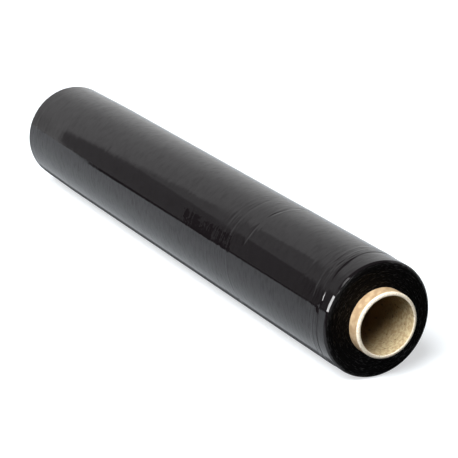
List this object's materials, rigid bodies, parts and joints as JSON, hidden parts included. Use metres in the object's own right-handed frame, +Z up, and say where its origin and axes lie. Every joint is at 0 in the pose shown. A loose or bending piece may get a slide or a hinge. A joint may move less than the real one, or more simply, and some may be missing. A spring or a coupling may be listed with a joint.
{
  "type": "stretch wrap roll",
  "caption": "Hand roll of black stretch wrap, wound on a paperboard tube that stands out at both ends, lying on its side.",
  "frame": {"origin": "on the surface that the roll lies on, under the middle of the roll", "axes": "+X along the roll's axis, +Z up; the roll lies on its small flat spot"},
  "size_m": [0.469, 0.076, 0.0757],
  "materials": {
    "film": "glossy black polyethylene film",
    "paperboard": "plain tan paperboard"
  },
  "bodies": {
    "root": {"film_roll": "film", "core_tube": "paperboard"}
  },
  "joints": []
}
